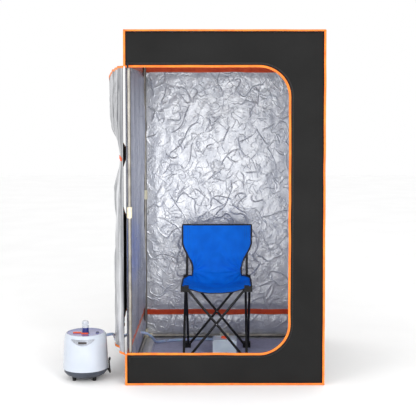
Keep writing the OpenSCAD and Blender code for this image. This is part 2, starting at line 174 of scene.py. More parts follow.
def finish(name, colour, shade, patch, rough, bumps, stretch=(1, 1, 1), **more):
    # colour wanders to shade over patch metres; rough is (low, high); bumps are (kind, size m, height mm)
    made = bpy.data.materials.new(name)
    made.use_nodes = True
    tree = made.node_tree
    tree.nodes.clear()
    coords = add(tree, "ShaderNodeTexCoord").outputs["Object"]
    placed = add(tree, "ShaderNodeMapping", {"Scale": stretch}, {"Vector": coords}).outputs["Vector"]
    cloud = add(tree, "ShaderNodeTexNoise", {"Scale": 1.0 / patch, "Detail": 5.0}, {"Vector": placed})
    spread = add(
        tree, "ShaderNodeMapRange", {"From Min": 0.32, "From Max": 0.68}, {"Value": cloud.outputs["Fac"]}
    ).outputs["Result"]
    mix = add(tree, "ShaderNodeMix", {"data_type": "RGBA"})
    mix.inputs[6].default_value = linear(colour)
    mix.inputs[7].default_value = linear(shade)
    tree.links.new(spread, mix.inputs[0])
    gloss = add(
        tree, "ShaderNodeMapRange", {"To Min": rough[0], "To Max": rough[1]}, {"Value": cloud.outputs["Fac"]}
    )
    shader = add(
        tree,
        "ShaderNodeBsdfPrincipled",
        more,
        {"Base Color": mix.outputs[2], "Roughness": gloss.outputs["Result"]},
    )
    normal = None
    for kind, size, height in bumps:
        bump = add(
            tree,
            "ShaderNodeBump",
            {"Strength": 1.0, "Distance": height / 1000},
            {"Height": relief(tree, coords, kind, size)},
        )
        if normal is not None:
            tree.links.new(normal, bump.inputs["Normal"])
        normal = bump.outputs["Normal"]
    tree.links.new(normal, shader.inputs["Normal"])
    add(tree, "ShaderNodeOutputMaterial", None, {"Surface": shader.outputs["BSDF"]})
    return made


oxford = finish("oxfordCloth", "#1B1B1B", "#171717", 0.25, (0.7, 0.85),
                [("weave", 0.0012, 0.2), ("grain", 0.09, 1.2)],
                **{"Specular IOR Level": 0.2})  # dull charcoal cloth with a faint weave
creased = [("folds", 0.10, 2.2), ("folds", 0.045, 1.1), ("facets", 0.02, 0.45), ("grain", 0.008, 0.6)]
foil = finish("silverFilm", "#DCDEE2", "#C6C9D0", 0.06, (0.3, 0.46), creased,
              **{"Metallic": 0.6})  # crinkled film that throws sharp light and dark folds
wallFilmPaintedReflection = finish("pleatedFilmPaintedReflection", "#DEE1EA", "#B0B4C4", 0.05, (0.3, 0.42), creased, (1, 1, 0.08),
                  **{"Metallic": 0.65})  # side walls, with painted reflection and shade streaked along their pleats
doorFilmPaintedShade = finish("foldedFilmPaintedShade", "#E0E1E4", "#595B61", 0.045, (0.28, 0.4), creased, (1, 1, 0.06),
                  **{"Metallic": 0.6})  # hanging door, bright film with painted dark shade and reflection streaked down its folds
binding = finish("orangeBinding", "#FF8A1E", "#F26F14", 0.04, (0.5, 0.7),
                 [("weave", 0.0012, 0.2), ("grain", 0.01, 0.4)],
                 **{"Sheen Weight": 0.2})  # ribbed bright orange tape
band = finish("orangeWebbing", "#E8511C", "#CC3A12", 0.05, (0.55, 0.75),
              [("weave", 0.0018, 0.3), ("grain", 0.012, 0.5)],
              **{"Sheen Weight": 0.2})  # deeper red-orange woven strap
strap = finish("strapWebbing", "#FF6A2A", "#E8501A", 0.03, (0.55, 0.7),
               [("weave", 0.0016, 0.3)])  # bright woven tie strap
zipCloth = finish("zipTape", "#0D0D0E", "#080809", 0.03, (0.7, 0.85),
                  [("weave", 0.001, 0.2)])  # dull black woven tape
zipTeeth = finish("zipTeeth", "#131314", "#0C0C0D", 0.01, (0.4, 0.55),
                  [("grain", 0.002, 0.05)])  # hard dark moulded teeth
felt = finish("matFelt", "#9C9EC0", "#8688AC", 0.02, (0.85, 0.95),
              [("grain", 0.003, 0.8), ("grain", 0.03, 1.5)],
              **{"Sheen Weight": 0.4})  # soft purple-grey fibres
sling = finish("chairCanvas", "#0072EA", "#0066D8", 0.06, (0.6, 0.75),
               [("weave", 0.0011, 0.25), ("grain", 0.03, 1.6)],
               **{"Specular IOR Level": 0.15})  # bright blue canvas with soft dents
blackTape = finish("blackTape", "#131316", "#1C1C20", 0.02, (0.6, 0.75),
                   [("weave", 0.0012, 0.2)])  # the chair's dull edge tape
thread = finish("thread", "#F3A060", "#E08A48", 0.01, (0.7, 0.85),
                [("grain", 0.001, 0.05)])  # pale orange stitches
blueThread = finish("blueThread", "#0A4FA0", "#083F84", 0.01, (0.7, 0.85),
                    [("grain", 0.001, 0.05)])  # dark stitches sunk in the canvas
silicone = finish("hoseSilicone", "#C4D6F2", "#B2C8EC", 0.05, (0.22, 0.35), [("grain", 0.004, 0.1)],
                  **{"Transmission Weight": 0.35, "IOR": 1.41, "Subsurface Weight": 0.2})  # milky blue tube
print("stage: cloth and hose materials")


def fraction(values):
    return values - np.floor(values)


def scatter(i, j, seed):  # a repeatable random number from 0 to 1 for each cell
    return fraction(np.sin(i * 127.1 + j * 311.7 + seed * 74.7) * 43758.5453)


def softNoise(u, v, size, seed):  # smooth hills, -1 to 1, size metres across
    u, v = u / size, v / size
    i, j = np.floor(u), np.floor(v)
    a, b = u - i, v - j
    a, b = a * a * (3 - 2 * a), b * b * (3 - 2 * b)
    near = scatter(i, j, seed) * (1 - a) + scatter(i + 1, j, seed) * a
    far = scatter(i, j + 1, seed) * (1 - a) + scatter(i + 1, j + 1, seed) * a
    return (near * (1 - b) + far * b) * 2 - 1


def creases(u, v, size, seed):  # flat facets from 0 to 1 with sharp valleys between them
    u = u / size + 0.45 * softNoise(u, v, size * 1.6, seed + 3)
    v = v / size + 0.45 * softNoise(u + 9, v, size * 1.6, seed + 5)
    i, j = np.floor(u), np.floor(v)
    first, second = np.full(u.shape, 9.0), np.full(u.shape, 9.0)
    for di in (-1, 0, 1):
        for dj in (-1, 0, 1):
            x = i + di + scatter(i + di, j + dj, seed)
            y = j + dj + scatter(i + di, j + dj, seed + 17)
            d = np.hypot(x - u, y - v)
            second = np.where(d < first, first, np.minimum(second, d))
            first = np.minimum(first, d)
    return np.clip((second - first) * 1.4, 0, 1)


def fade(distance, reach):  # 0 at an edge, 1 beyond reach
    t = np.clip(distance / reach, 0, 1)
    return t * t * (3 - 2 * t)


mergeWithin = 1e-5  # points nearer than this are one point, in metres


def toMesh(name, points, faces, materials, indices=None, smooth=True, tidy=True):
    mesh = bpy.data.meshes.new(name)
    mesh.from_pydata([tuple(p) for p in points], [], [tuple(f) for f in faces])
    for material in materials:
        mesh.materials.append(material)
    if indices is not None:
        mesh.polygons.foreach_set("material_index", indices)
    mesh.polygons.foreach_set("use_smooth", [smooth] * len(mesh.polygons))
    if tidy:  # merge doubled points, then turn faces outwards
        shell = bmesh.new()
        shell.from_mesh(mesh)
        bmesh.ops.remove_doubles(shell, verts=shell.verts, dist=mergeWithin)
        bmesh.ops.recalc_face_normals(shell, faces=shell.faces)
        shell.to_mesh(mesh)
        shell.free()
    made = bpy.data.objects.new(name, mesh)
    scene.collection.objects.link(made)
    return made


def shellPanel(name, outer, inner, materials):  # two grids of points, (nu, nv, 3), joined round their rim
    nu, nv = outer.shape[:2]
    number = np.arange(nu * nv).reshape(nu, nv)
    a, b, c, d = number[:-1, :-1], number[1:, :-1], number[1:, 1:], number[:-1, 1:]
    front = np.stack([a, b, c, d], -1).reshape(-1, 4)
    back = np.stack([a, d, c, b], -1).reshape(-1, 4) + nu * nv
    rim = np.concatenate([number[:, 0], number[-1, 1:], number[-2::-1, -1], number[0, -2:0:-1]])
    following = np.roll(rim, -1)
    side = np.stack([rim, following, following + nu * nv, rim + nu * nv], -1)[:, ::-1]
    faces = np.concatenate([front, back, side])
    indices = [0] * len(front) + [1] * len(back) + [0] * len(side)
    points = np.concatenate([outer.reshape(-1, 3), inner.reshape(-1, 3)])
    return toMesh(name, points.tolist(), faces.tolist(), materials, indices, tidy=False)


def facingOut(piece):  # turns a closed shell whose volume is negative
    shell = bmesh.new()
    shell.from_mesh(piece.data)
    if shell.calc_volume(signed=True) < 0:
        bmesh.ops.reverse_faces(shell, faces=shell.faces)
        shell.to_mesh(piece.data)
    shell.free()
    return piece


def tubeShape(points, wide, thick, sides, up, closed=False):
    # an oval tube along points: wide across, thick along up; returns points and faces
    points = np.asarray(points, float)
    if closed:
        ahead = np.roll(points, -1, 0) - np.roll(points, 1, 0)
    else:
        ahead = np.gradient(points, axis=0)
    ahead /= np.linalg.norm(ahead, axis=1)[:, None]
    up = np.broadcast_to(np.asarray(up, float), points.shape)
    across = np.cross(ahead, up)
    across /= np.linalg.norm(across, axis=1)[:, None]
    lift = np.cross(across, ahead)
    angles = np.arange(sides) * 2 * pi / sides
    rings = [
        points + across * (wide / 2 * cos(t)) + lift * (thick / 2 * sin(t)) for t in angles
    ]
    cloud = np.stack(rings, 1).reshape(-1, 3)
    n = len(points)
    faces = []
    for i in range(n if closed else n - 1):
        k = (i + 1) % n
        for s in range(sides):
            t = (s + 1) % sides
            faces.append((i * sides + s, i * sides + t, k * sides + t, k * sides + s))
    if not closed:
        faces += [tuple(range(sides - 1, -1, -1)), tuple((n - 1) * sides + s for s in range(sides))]
    return cloud.tolist(), faces


def tubes(name, runs, wide, thick, sides, material):  # runs are (points, up, closed), all in one piece
    points, faces = [], []
    for run, up, closed in runs:
        more, quads = tubeShape(run, wide, thick, sides, up, closed)
        faces += [tuple(len(points) + k for k in quad) for quad in quads]
        points += more
    return toMesh(name, points, faces, [material])


def evenLine(points, step):  # the same line with its points evenly apart
    points = np.asarray(points, float)
    run = np.r_[0, np.cumsum(np.linalg.norm(np.diff(points, axis=0), axis=1))]
    at = np.linspace(0, run[-1], max(2, int(run[-1] / step)) + 1)
    return np.stack([np.interp(at, run, points[:, k]) for k in range(3)], 1)


def smoothLine(points, step=0.008):  # a rounded line through the points
    p = np.asarray(points, float)
    q = np.vstack([2 * p[0] - p[1], p, 2 * p[-1] - p[-2]])
    fine = []
    for i in range(1, len(q) - 2):
        a, b, c, d = q[i - 1 : i + 3]
        for t in np.linspace(0, 1, 12, endpoint=False):
            bend = (2 * a - 5 * b + 4 * c - d) * t**2 + (3 * b - a - 3 * c + d) * t**3
            fine.append(0.5 * (2 * b + (c - a) * t + bend))
    return evenLine(fine + [p[-1]], step)


def alongTree():  # blocks set at a spacing along a curve: zip teeth and stitches
    tree = bpy.data.node_groups.new("blocksAlongCurve", "GeometryNodeTree")
    face = tree.interface
    face.new_socket("Geometry", in_out="INPUT", socket_type="NodeSocketGeometry")
    for label, value in (("Spacing", 0.004), ("Across", 0.003), ("Thick", 0.001), ("Along", 0.002)):
        face.new_socket(label, in_out="INPUT", socket_type="NodeSocketFloat").default_value = value
    face.new_socket("Material", in_out="INPUT", socket_type="NodeSocketMaterial")
    face.new_socket("Geometry", in_out="OUTPUT", socket_type="NodeSocketGeometry")
    given = add(tree, "NodeGroupInput").outputs
    path = {"Curve": given["Geometry"], "Length": given["Spacing"]}
    spots = add(tree, "GeometryNodeCurveToPoints", {"mode": "LENGTH"}, path).outputs
    sides = {"X": given["Across"], "Y": given["Thick"], "Z": given["Along"]}
    size = add(tree, "ShaderNodeCombineXYZ", None, sides)
    block = add(tree, "GeometryNodeMeshCube", None, {"Size": size.outputs[0]})
    where = {"Points": spots["Points"], "Instance": block.outputs["Mesh"], "Rotation": spots["Rotation"]}
    placed = add(tree, "GeometryNodeInstanceOnPoints", None, where)
    real = add(tree, "GeometryNodeRealizeInstances", None, {"Geometry": placed.outputs["Instances"]})
    skin = {"Geometry": real.outputs["Geometry"], "Material": given["Material"]}
    painted = add(tree, "GeometryNodeSetMaterial", None, skin)
    add(tree, "NodeGroupOutput", None, {"Geometry": painted.outputs["Geometry"]})
    return tree


blocksAlong = alongTree()


def alongCurve(name, runs, sizes, material):  # runs are lists of points; sizes name the tree's inputs
    line = bpy.data.curves.new(name, "CURVE")
    line.dimensions = "3D"
    for run in runs:
        spline = line.splines.new("POLY")
        spline.points.add(len(run) - 1)
        spline.points.foreach_set("co", np.c_[np.asarray(run), np.ones(len(run))].ravel())
    holder = bpy.data.objects.new(name + "Path", line)
    scene.collection.objects.link(holder)
    modifier = holder.modifiers.new("blocks", "NODES")
    modifier.node_group = blocksAlong
    for item in blocksAlong.interface.items_tree:
        if item.in_out == "INPUT" and item.name in sizes:
            modifier[item.identifier] = sizes[item.name]
        if item.in_out == "INPUT" and item.name == "Material":
            modifier[item.identifier] = material
    bpy.context.view_layer.update()
    graph = bpy.context.evaluated_depsgraph_get()
    mesh = bpy.data.meshes.new_from_object(holder.evaluated_get(graph))
    bpy.data.objects.remove(holder)
    mesh.name = name
    made = bpy.data.objects.new(name, mesh)
    scene.collection.objects.link(made)
    return made


def join(body, *pieces):  # pieces ride on one body
    for piece in pieces:
        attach(piece, body)


def settle(piece, body, kind, *nodes):  # a piece takes the place and body of CAD nodes
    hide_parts(*nodes)
    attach(piece, body)
    return piece


roofLow, roofHigh = ends("cover_roof")
halfWide, halfDeep, topZ = roofHigh
bindLow, bindHigh = ends("doorway_binding")
doorway = {"radius": 0.16, "left": roofLow[0], "right": bindHigh[0], "low": bindLow[2], "high": bindHigh[2]}
bandLow, bandHigh = ends("inner_bands")
bands = {"tall": 0.032, "thick": 0.0016, "wave": 0.0022, "stitchIn": 0.004,
         "stitch": {"Spacing": 0.0055, "Across": 0.0009, "Thick": 0.0009, "Along": 0.0036}}
bandHeights = (bandLow[2] + bands["tall"] / 2, bandHigh[2] - bands["tall"] / 2)
sleeveLow, sleeveHigh = ends("hose_sleeve")
port = (sleeveLow + sleeveHigh) / 2
matLow, matHigh = ends("floor_mat")
cloth = {"thick": 0.003, "step": 0.0105, "fold": 0.0032, "foldSize": 0.12, "small": 0.0016, "smallSize": 0.05,
         "swell": 0.003, "swellSize": 0.22, "pleat": 0.007, "pleatSize": 0.13, "bulge": 0.003,
         "bulgeSize": 0.34, "outside": 0.0006}


def wallShift(u, v, seed, pleats=0.0):  # how far the film stands in from a wall, in metres
    calm = fade(halfWide - 0.02 - np.abs(u), 0.07) * fade(v - 0.02, 0.05) * fade(topZ - 0.03 - v, 0.07)
    for z in bandHeights:
        calm = calm * fade(np.abs(v - z) - bands["tall"] / 2, 0.035)
    large = creases(u + 0.3 * v, v * 0.8, cloth["foldSize"], seed) * cloth["fold"]
    folds = large + creases(u, v, cloth["smallSize"], seed + 30) * cloth["small"]
    swell = (softNoise(u, v, cloth["swellSize"], seed + 50) + 1) * cloth["swell"]
    wave = pleats * (1 + np.sin(2 * pi * (u / cloth["pleatSize"] + 0.35 * softNoise(v, u, 0.4, seed + 60))))
    return calm * (folds + swell + wave)


def wallPanel(name, node, place, seed, film, pleats=0.0):  # place(u, v, out) gives a point, out is outwards
    nu, nv = int(2 * halfWide / cloth["step"]), int(topZ / cloth["step"])
    u, v = np.meshgrid(np.linspace(-halfWide, halfWide, nu),
                       np.linspace(cloth["thick"], topZ - cloth["thick"], nv), indexing="ij")
    edge = fade(halfWide - np.abs(u), 0.08) * fade(v, 0.08) * fade(topZ - v, 0.08)
    outer = -cloth["outside"] + edge * cloth["bulge"] * softNoise(u, v, cloth["bulgeSize"], seed + 9)
    inner = -cloth["thick"] - wallShift(u, v, seed, pleats)
    made = shellPanel(name, place(u, v, outer), place(u, v, inner), [oxford, film])
    return settle(facingOut(made), "cabin", "cover_fabric", node)


def backPlace(u, v, out):
    return np.stack([-u, halfDeep + out, v], -1)


def leftPlace(u, v, out):
    return np.stack([-halfWide - out, u * (halfDeep - cloth["thick"]) / halfDeep, v], -1)


def rightPlace(u, v, out):
    return np.stack([halfWide + out, u * (halfDeep - cloth["thick"]) / halfDeep, v], -1)


backWall = wallPanel("backWall", "cover_back", backPlace, 3, foil)
leftWall = wallPanel("leftWall", "cover_left", leftPlace, 11, wallFilmPaintedReflection, cloth["pleat"])
rightWall = wallPanel("rightWall", "cover_right", rightPlace, 23, wallFilmPaintedReflection, cloth["pleat"])
print("stage: three walls")


def doorwayLine(grow, step=0.01):  # the doorway's outline in X and Z, from top left round to bottom left
    left, r = doorway["left"], doorway["radius"] + grow
    right, floorZ, headZ = doorway["right"] + grow, doorway["low"] - grow, doorway["high"] + grow
    top = [(x, headZ) for x in np.arange(left, right - r, step)]
    corner = [(right - r + r * sin(t), headZ - r + r * cos(t)) for t in np.linspace(0, pi / 2, 22)]
    down = [(right, z) for z in np.arange(headZ - r - step, floorZ + r + step / 2, -step)]
    below = [(right - r + r * cos(t), floorZ + r - r * sin(t)) for t in np.linspace(0, pi / 2, 22)]
    bottom = [(x, floorZ) for x in np.arange(right - r - step, left + step / 2, -step)] + [(left, floorZ)]
    return np.array(top + corner + down + below + bottom)


front = {"rings": 16, "middleZ": 0.9, "bulge": 0.0022, "bulgeSize": 0.22, "fold": 0.006, "foldSize": 0.07}


def frontPanel():  # rings from the doorway's edge out to the front's own edge
    inside = doorwayLine(0)
    middle = np.array([doorway["right"] - doorway["radius"], 0.0])
    outside = []
    for x, z in inside:  # push each point straight out, corners fanned to the front's corners
        turnX = x - middle[0]
        if turnX <= 0:
            outside.append((x, topZ - cloth["thick"] if z > front["middleZ"] else cloth["thick"]))
            continue
        centreZ = min(max(z, doorway["low"] + doorway["radius"]), doorway["high"] - doorway["radius"])
        rise = z - centreZ
        if abs(rise) < 1e-6:
            outside.append((halfWide, z))
            continue
        reachX = halfWide - middle[0]
        reachZ = (topZ - cloth["thick"] - centreZ) if rise > 0 else (centreZ - cloth["thick"])
        t = min(reachX / max(turnX, 1e-9), reachZ / abs(rise))
        outside.append((middle[0] + turnX * t, centreZ + rise * t))
    outside = np.array(outside)
    for corner in ((halfWide, topZ - cloth["thick"]), (halfWide, cloth["thick"])):
        outside[np.argmin(np.hypot(*(outside - corner).T))] = corner
    mix = np.linspace(0, 1, front["rings"])[None, :, None]
    flat = inside[:, None, :] * (1 - mix) + outside[:, None, :] * mix
    u, v = flat[..., 0], flat[..., 1]
    edge = np.sin(np.linspace(0, pi, front["rings"]))[None, :] ** 0.5
    outer = -halfDeep + 0.0005 - edge * front["bulge"] * (softNoise(u, v, front["bulgeSize"], 71) + 0.4)
    folds = front["fold"] * creases(u, v, front["foldSize"], 73) + 0.001
    inner = -halfDeep + cloth["thick"] + edge * folds * fade(halfWide - 0.035 - np.abs(u), 0.03)
    made = shellPanel("frontWall", np.stack([u, outer, v], -1), np.stack([u, inner, v], -1), [oxford, foil])
    return settle(facingOut(made), "cabin", "cover_fabric", "cover_front")


frontWall = frontPanel()


level = {"step": 0.0115, "sag": 0.012, "sway": 0.003, "swaySize": 0.25, "fold": 0.008, "foldSize": 0.12,
         "rise": 0.002, "crumple": 0.006, "crumpleSize": 0.05}  # sag and folds of the roof, rise of the floor


def levelPanel(name, node, lowZ, highZ, topWave, underWave, skins, kind):  # skins are (top, under)
    count = int(2 * halfWide / level["step"])
    u, v = np.meshgrid(np.linspace(-halfWide, halfWide, count),
                       np.linspace(-halfDeep, halfDeep, count), indexing="ij")
    calm = fade(halfWide - np.abs(u), 0.09) * fade(halfDeep - np.abs(v), 0.09)
    top = np.stack([u, v, highZ + topWave(u, v) * calm], -1)
    under = np.stack([u, v, lowZ + underWave(u, v) * calm], -1)
    made = shellPanel(name, top, under, list(skins))
    return settle(facingOut(made), "cabin", kind, node)


def roofSag(u, v):
    return -level["sag"] + level["sway"] * softNoise(u, v, level["swaySize"], 81)


def ceilingFolds(u, v):
    return roofSag(u, v) - level["fold"] * creases(u, v, level["foldSize"], 83)


roof = levelPanel("roof", "cover_roof", topZ - cloth["thick"], topZ, roofSag, ceilingFolds, (oxford, foil),
                  "cover_fabric")


def floorRise(u, v):  # the film crinkles where the mat leaves it bare
    bare = np.maximum.reduce([matLow[0] - u, u - matHigh[0], matLow[1] - v, v - matHigh[1]])
    crumple = level["crumple"] * creases(u, v, level["crumpleSize"], 91)
    return fade(bare - 0.004, 0.012) * (level["rise"] + crumple)


def flatUnder(u, v):
    return u * 0


groundSheet = levelPanel("groundSheet", "cover_floor", 0.0, cloth["thick"], floorRise, flatUnder,
                         (foil, foil), "silver_film")
print("stage: front, roof and floor")

piping = {"wide": 0.0112, "thick": 0.0096, "out": 0.0037, "footOut": 0.0052, "wave": 0.0009, "sides": 10,
          "doorGap": 0.006}


def wavy(points, seed, amount, ways=(1, 1, 1)):  # a line that isn't quite straight
    points = np.array(points, float)
    run = np.r_[0, np.cumsum(np.linalg.norm(np.diff(points, axis=0), axis=1))]
    for k in range(3):
        points[:, k] += ways[k] * amount * softNoise(run, run * 0 + k * 3.3, 0.11, seed + k)
    return points


def pipingRuns():
    runs, seed = [], 100
    px, py, top = halfWide + piping["out"], halfDeep + piping["out"], topZ + piping["out"] - 0.0005
    foot = piping["wide"] / 2 + 0.0005
    for sx in (-1, 1):
        for sy in (-1, 1):
            spans = [(0.001, top)]
            if sx < 0 and sy < 0:  # the door is sewn on between its foot and its head, so no piping there
                gap = piping["doorGap"]
                spans = [(0.001, doorway["low"] + gap), (doorway["high"] - gap, top)]
            for start, stop in spans:
                line = [(sx * px, sy * py, z) for z in np.linspace(start, stop, 170)]
                runs.append((wavy(line, seed, piping["wave"], (1, 1, 0)), (0, 1, 0), False))
            seed += 5
    for z, out in ((top, piping["out"]), (foot, piping["footOut"])):
        for s in (-1, 1):
            across = [(x, s * (halfDeep + out), z) for x in np.linspace(-px, px, 100)]
            along = [(s * (halfWide + out), y, z) for y in np.linspace(-py, py, 100)]
            runs.append((wavy(across, seed, piping["wave"] * 0.6, (0, 1, 1)), (0, 0, 1), False))
            runs.append((wavy(along, seed + 2, piping["wave"] * 0.6, (1, 0, 1)), (0, 0, 1), False))
            seed += 7
    return runs


edgePiping = tubes("edgePiping", pipingRuns(), piping["wide"], piping["thick"], piping["sides"], binding)
settle(edgePiping, "cabin", "orange_binding", "cover_piping")

doorTrim = {"wide": 0.0125, "thick": 0.0095, "in": 0.0055, "back": 0.0015, "wave": 0.0011}
inEdge = doorwayLine(-doorTrim["in"])
edgeLine = np.c_[inEdge[:, 0], np.full(len(inEdge), -halfDeep + doorTrim["back"]), inEdge[:, 1]]
edgeLine = wavy(edgeLine, 140, doorTrim["wave"])
doorEdge = tubes("doorwayEdge", [(edgeLine, (0, 1, 0), False)], doorTrim["wide"], doorTrim["thick"],
                 piping["sides"], binding)
settle(doorEdge, "cabin", "orange_binding", "doorway_binding")


def bandRun(z, seed):  # a strap round three walls, with its own small waves
    inset = cloth["thick"] + 0.0011
    x, y = halfWide - inset, halfDeep - inset
    left = [(-x, t, z) for t in np.linspace(-y + 0.003, y, 90)]
    back = [(t, y, z) for t in np.linspace(-x, x, 90)][1:]
    right = [(x, t, z) for t in np.linspace(y, -y + 0.003, 90)][1:]
    return wavy(left + back + right, seed, bands["wave"], (0, 0, 1))


def ribbon(name, line, wide, thick, up, material):  # a flat strap standing on its edge along up
    line = np.asarray(line)
    ahead = np.gradient(line, axis=0)
    ahead /= np.linalg.norm(ahead, axis=1)[:, None]
    up = np.broadcast_to(np.asarray(up, float), line.shape)
    face = np.cross(ahead, up)
    face /= np.linalg.norm(face, axis=1)[:, None]
    points = []
    for a, b in ((-1, -1), (1, -1), (1, 1), (-1, 1)):
        points.append(line + up * (wide / 2 * a) + face * (thick / 2 * b))
    cloud = np.stack(points, 1).reshape(-1, 3)
    n = len(line)
    faces = [(i * 4 + s, i * 4 + (s + 1) % 4, i * 4 + 4 + (s + 1) % 4, i * 4 + 4 + s)
             for i in range(n - 1) for s in range(4)]
    faces += [(3, 2, 1, 0), tuple((n - 1) * 4 + s for s in range(4))]
    return toMesh(name, cloud.tolist(), faces, [material], smooth=False)


for label, z, seed in (("lowBand", bandHeights[0], 150), ("highBand", bandHeights[1], 160)):
    line = bandRun(z, seed)
    strapPiece = ribbon(label, line, bands["tall"], bands["thick"], (0, 0, 1), band)
    settle(strapPiece, "cabin", "orange_band", "inner_bands")
    inward = line * [0.9975, 0.9975, 1]
    rows = [inward + [0, 0, side * (bands["tall"] / 2 - bands["stitchIn"])] for side in (-1, 1)]
    stitches = alongCurve(label + "Stitches", rows, bands["stitch"], thread)
    join("cabin", stitches)
print("stage: piping, doorway edge and bands")

zipper = {"near": 0.004, "far": 0.014, "thick": 0.0011, "tapeOut": 0.0013, "coil": 0.0105, "coilOut": 0.0018,
          "seam": 0.0062, "seamOut": 0.0015, "lineStep": 0.006,
          "tooth": {"Spacing": 0.0036, "Across": 0.0030, "Thick": 0.0030, "Along": 0.0019},
          "stitch": {"Spacing": 0.005, "Across": 0.0008, "Thick": 0.0008, "Along": 0.0032}}


def spaced(line, count):  # count of the line's points, evenly picked
    return line[np.linspace(0, len(line) - 1, count).round().astype(int)]


def frontLine(grow, out):  # the doorway's outline as points that stand out from the front
    line = doorwayLine(grow, zipper["lineStep"])
    return np.c_[line[:, 0], np.full(len(line), -halfDeep - out), line[:, 1]]


nearLine, farLine = doorwayLine(zipper["near"]), doorwayLine(zipper["far"])
tapeCount = min(len(nearLine), len(farLine))
nearLine, farLine = spaced(nearLine, tapeCount), spaced(farLine, tapeCount)
tapeGrid = np.stack([nearLine * (1 - t) + farLine * t for t in (0, 0.5, 1)], 1)
tapeY = np.full(tapeGrid.shape[:2], -halfDeep - zipper["tapeOut"])
tapeFront = np.stack([tapeGrid[..., 0], tapeY, tapeGrid[..., 1]], -1)
tapeBack = tapeFront + [0, zipper["thick"], 0]
zipTapePiece = facingOut(shellPanel("zipTape", tapeFront, tapeBack, [zipCloth, zipCloth]))
settle(zipTapePiece, "cabin", "zip_tape", "zip_tape")
teeth = alongCurve("zipTeeth", [frontLine(zipper["coil"], zipper["coilOut"])], zipper["tooth"], zipTeeth)
seamLine = frontLine(zipper["seam"], zipper["seamOut"])
seamStitches = alongCurve("zipStitches", [seamLine], zipper["stitch"], zipTeeth)
join("cabin", teeth, seamStitches)
print("stage: zip")

# the door hangs folded back along the left wall, gathered at its tie
panelLow, panelHigh = ends("door_binding")
door = {"hinge": (-0.512, -0.506), "turn": radians(7), "long": 0.845, "radius": 0.16, "thick": 0.0022,
        "bow": 0.024, "flare": 0.06, "tieZ": 1.156, "tieReach": 0.1, "headReach": 0.16,
        "kneeZ": 0.93, "kneeReach": 0.11, "footZ": 0.98, "footReach": 0.4, "pleat": 0.011, "pleats": 3.6,
        "sway": 0.009, "rumple": 0.006, "rumpleSize": 0.09, "panelIn": 0.003, "hemIn": 0.004}
doorHemSize = {"wide": 0.0125, "thick": 0.0085, "sides": 10, "step": 0.009}
doorTieSize = {"from": 0.02, "to": 0.5, "out": 0.0042, "wide": 0.017, "thick": 0.0016, "step": 0.008}
doorAlong = np.array([-sin(door["turn"]), cos(door["turn"]), 0])
doorOut = np.array([-cos(door["turn"]), -sin(door["turn"]), 0])


def doorPoint(s, z, off):  # s runs from the hinge to the free edge
    s, z = np.broadcast_arrays(np.asarray(s, float), np.asarray(z, float))
    held = np.exp(-(((z - door["tieZ"]) / door["tieReach"]) ** 2))
    high = fade(z - door["tieZ"], door["headReach"])
    knee = np.exp(-(((z - door["kneeZ"]) / door["kneeReach"]) ** 2))
    low = fade(door["footZ"] - z, door["footReach"])
    spread = door["flare"] * s**1.6 * (0.9 * high + 0.55 * knee - 0.75 * low - 0.45 * held)
    bow = door["bow"] * np.sin(pi * s**0.7) * (1 - 0.5 * held + 0.5 * low - 0.5 * high) + spread
    loose = fade(s, 0.06) * (1 - 0.5 * held)
    wave = np.sin(2 * pi * (door["pleats"] * s**0.85 + 0.22 * softNoise(z, s, 0.45, 201)))
    sway = softNoise(z, s * 0.8, 0.5, 203) * door["sway"] * fade(s, 0.3)
    rumple = creases(s * door["long"], z * 0.6, door["rumpleSize"], 207) * door["rumple"]
    out = bow + loose * (door["pleat"] * wave + sway + rumple) + off
    x0, y0 = door["hinge"]
    flat = doorAlong * (door["long"] * s)[..., None] + doorOut * np.asarray(out)[..., None]
    return flat + np.stack([np.full(z.shape, x0), np.full(z.shape, y0), z], -1)


def doorEdges(s, inset):  # lowest and highest z of the door at s
    y = door["long"] * np.asarray(s) * cos(door["turn"])
    reach = door["long"] * cos(door["turn"])
    r = door["radius"]
    bend = np.clip(y - (reach - r), 0, r)
    rise = r - np.sqrt(np.maximum(r * r - bend * bend, 0))
    return panelLow[2] + inset + rise, panelHigh[2] - inset - rise


sRow = np.r_[np.linspace(0, 0.8, 60, endpoint=False), 0.8 + 0.194 * np.sin(np.linspace(0, pi / 2, 26))]
vRow = np.linspace(0, 1, 140)
lowEdge, highEdge = doorEdges(sRow, door["panelIn"])
zGrid = lowEdge[:, None] + (highEdge - lowEdge)[:, None] * vRow[None, :]
sGrid = np.repeat(sRow[:, None], len(vRow), 1)
doorPanel = facingOut(shellPanel("doorPanel", doorPoint(sGrid, zGrid, -door["thick"] / 2),
                                 doorPoint(sGrid, zGrid, door["thick"] / 2), [oxford, doorFilmPaintedShade]))
lowEdge, highEdge = doorEdges(sRow, door["hemIn"])
freeEdge = np.linspace(lowEdge[-1], highEdge[-1], 92)[1:-1]
hem = np.concatenate([doorPoint(sRow, lowEdge, 0), doorPoint(np.full(90, sRow[-1]), freeEdge, 0),
                      doorPoint(sRow, highEdge, 0)[::-1]])
doorHem = tubes("doorHem", [(smoothLine(hem, doorHemSize["step"]), tuple(doorOut), False)],
                doorHemSize["wide"], doorHemSize["thick"], doorHemSize["sides"], binding)
tieS = np.linspace(doorTieSize["from"], doorTieSize["to"], 50)
tieLine = smoothLine(doorPoint(tieS, np.full(50, door["tieZ"]), doorTieSize["out"]), doorTieSize["step"])
doorTie = ribbon("doorTie", tieLine, doorTieSize["wide"], doorTieSize["thick"], (0, 0, 1), strap)
for piece, node, kind in ((doorPanel, "door_panel", "silver_film"),
                          (doorHem, "door_binding", "orange_binding"),
                          (doorTie, "door_tie", "orange_binding")):
    settle(piece, "door", kind, node)
    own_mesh(piece)
print("stage: door")

mat = {"step": 0.014, "sink": 0.0011, "sinkSize": 0.12, "round": 0.006, "lip": 0.0008, "stitchIn": 0.012,
       "stitch": {"Spacing": 0.007, "Across": 0.0011, "Thick": 0.0011, "Along": 0.0046}}


